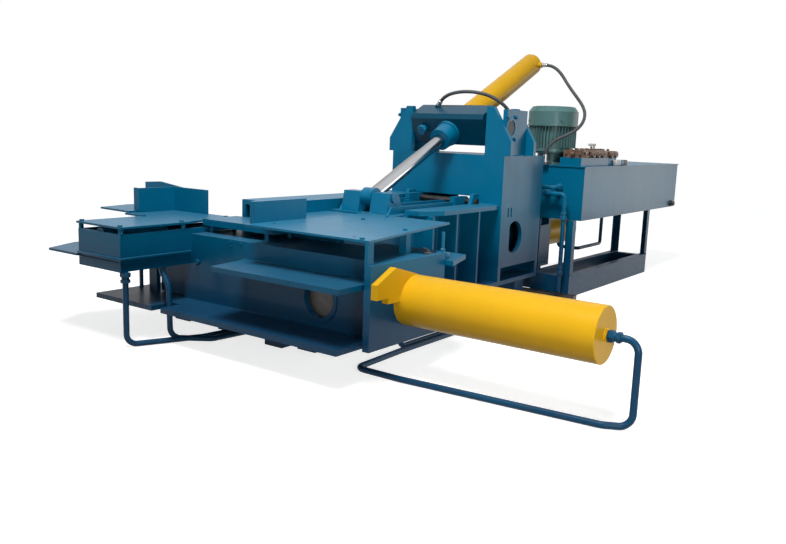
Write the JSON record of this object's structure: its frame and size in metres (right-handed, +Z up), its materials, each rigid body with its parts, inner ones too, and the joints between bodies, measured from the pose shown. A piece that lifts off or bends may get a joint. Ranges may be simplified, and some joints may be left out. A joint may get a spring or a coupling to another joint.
{
  "type": "recycling baler",
  "caption": "Horizontal hydraulic scrap-metal baler: main ram, crosswise side ram, hinged lid on a trunnion cylinder, sliding bale gate and a raised oil tank with its electric pump motor.",
  "frame": {"origin": "on the floor, at the centre of the underside of the foot below the crossing of the two ram axes", "axes": "+X to the free end of the side cylinder, +Y along the main cylinder to the power pack, +Z up"},
  "size_m": [3.732, 5.785, 1.9819],
  "materials": {
    "frame_blue": "semi-gloss deep blue machine enamel, scuffed and dusty",
    "cylinder_yellow": "gloss chrome-yellow enamel",
    "rod_chrome": "hard chrome, polished",
    "worn_steel": "bare steel worn by scrap",
    "dark_steel": "oiled dark steel",
    "motor_grey": "satin grey-green enamel",
    "valve_brown": "brown primed cast iron, oily",
    "fan_plastic": "matt",
    "bush_bronze": "turned bearing bronze",
    "hose_rubber": "wrapped hydraulic hose cover",
    "bolt_zinc": "zinc plated"
  },
  "bodies": {
    "frame": {"base_plate": "frame_blue", "bell_housing": "motor_grey", "charging_box_left": "frame_blue", "charging_box_right": "frame_blue", "corner_fence": "frame_blue", "corner_roof": "frame_blue", "corner_table": "frame_blue", "cover_bolts": "bolt_zinc", "cover_spacers": "frame_blue", "end_fences": "frame_blue", "end_plate": "frame_blue", "fan_cover": "motor_grey", "flange_bolts": "bolt_zinc", "floor_manifold": "dark_steel", "frame_feet": "frame_blue", "front_beam": "frame_blue", "gate_barrel": "frame_blue", "gate_housing": "frame_blue", "gate_pipes": "frame_blue", "hose_fittings": "dark_steel", "left_cover": "frame_blue", "lid_hinge_shaft": "dark_steel", "lid_hose_front": "hose_rubber", "lid_hose_rear": "hose_rubber", "main_barrel": "cylinder_yellow", "motor_frame": "motor_grey", "oil_tank": "frame_blue", "outlet_walls": "frame_blue", "right_cover": "frame_blue", "side_barrel": "cylinder_yellow", "side_pipes": "frame_blue", "side_ram_guide": "frame_blue", "tail_frame": "frame_blue", "tank_fittings": "dark_steel", "tank_lid": "frame_blue", "tank_pipes": "frame_blue", "tank_stand": "frame_blue", "tower_deck": "frame_blue", "tower_front_plate": "frame_blue", "tower_rear_plate": "frame_blue", "tower_sides": "frame_blue", "trunnion_bushes": "bush_bronze", "trunnion_stands": "frame_blue", "valve_block": "valve_brown"},
    "main_ram": {"main_ram": "worn_steel", "main_rod": "rod_chrome"},
    "side_ram": {"side_ram": "worn_steel", "side_rod": "rod_chrome"},
    "gate": {"gate": "frame_blue", "gate_rod": "rod_chrome"},
    "lid": {"lid": "frame_blue"},
    "lid_cylinder": {"trunnion_yoke": "frame_blue", "lid_barrel": "cylinder_yellow", "lid_gland": "frame_blue"},
    "lid_rod": {"lid_rod": "rod_chrome"},
    "motor_rotor": {"motor_shaft": "dark_steel", "cooling_fan": "fan_plastic"},
    "spool_lid": {"spool_lid": "dark_steel"},
    "spool_main": {"spool_main": "dark_steel"},
    "spool_side": {"spool_side": "dark_steel"}
  },
  "joints": [
    {"name": "main_ram_slide", "type": "slide", "parent": "frame", "child": "main_ram", "axis": [0, -1, 0], "range_m": [0, 1.505]},
    {"name": "side_ram_slide", "type": "slide", "parent": "frame", "child": "side_ram", "axis": [-1, 0, 0], "range_m": [0, 0.86]},
    {"name": "gate_slide", "type": "slide", "parent": "frame", "child": "gate", "axis": [0, -1, 0], "range_m": [0, 0.36]},
    {"name": "lid_hinge", "type": "hinge", "parent": "frame", "child": "lid", "pos_m": [0, 1.7, 0.795], "axis": [-1, 0, 0], "range_deg": [0, 44]},
    {"name": "lid_cylinder_swing", "type": "hinge", "parent": "frame", "child": "lid_cylinder", "pos_m": [0, 1.86, 1.338], "axis": [-1, 0, 0], "range_deg": [0, 33]},
    {"name": "lid_rod_slide", "type": "slide", "parent": "lid_cylinder", "child": "lid_rod", "axis": [0, 0.9033, 0.4289], "range_m": [0, 0.385]},
    {"name": "rotor_spin", "type": "hinge", "parent": "frame", "child": "motor_rotor", "pos_m": [0.308, 2.9, 1.3], "axis": [0, 0, 1], "continuous": true},
    {"name": "spool_lid_slide", "type": "slide", "parent": "frame", "child": "spool_lid", "axis": [1, 0, 0], "range_m": [-0.008, 0.008]},
    {"name": "spool_main_slide", "type": "slide", "parent": "frame", "child": "spool_main", "axis": [1, 0, 0], "range_m": [-0.008, 0.008]},
    {"name": "spool_side_slide", "type": "slide", "parent": "frame", "child": "spool_side", "axis": [1, 0, 0], "range_m": [-0.008, 0.008]}
  ],
  "couplings": [
    {"joint": "lid_cylinder_swing", "follows": "lid_hinge", "ratio": 0.74},
    {"joint": "lid_rod_slide", "follows": "lid_hinge", "m_per_rad": 0.4975}
  ]
}
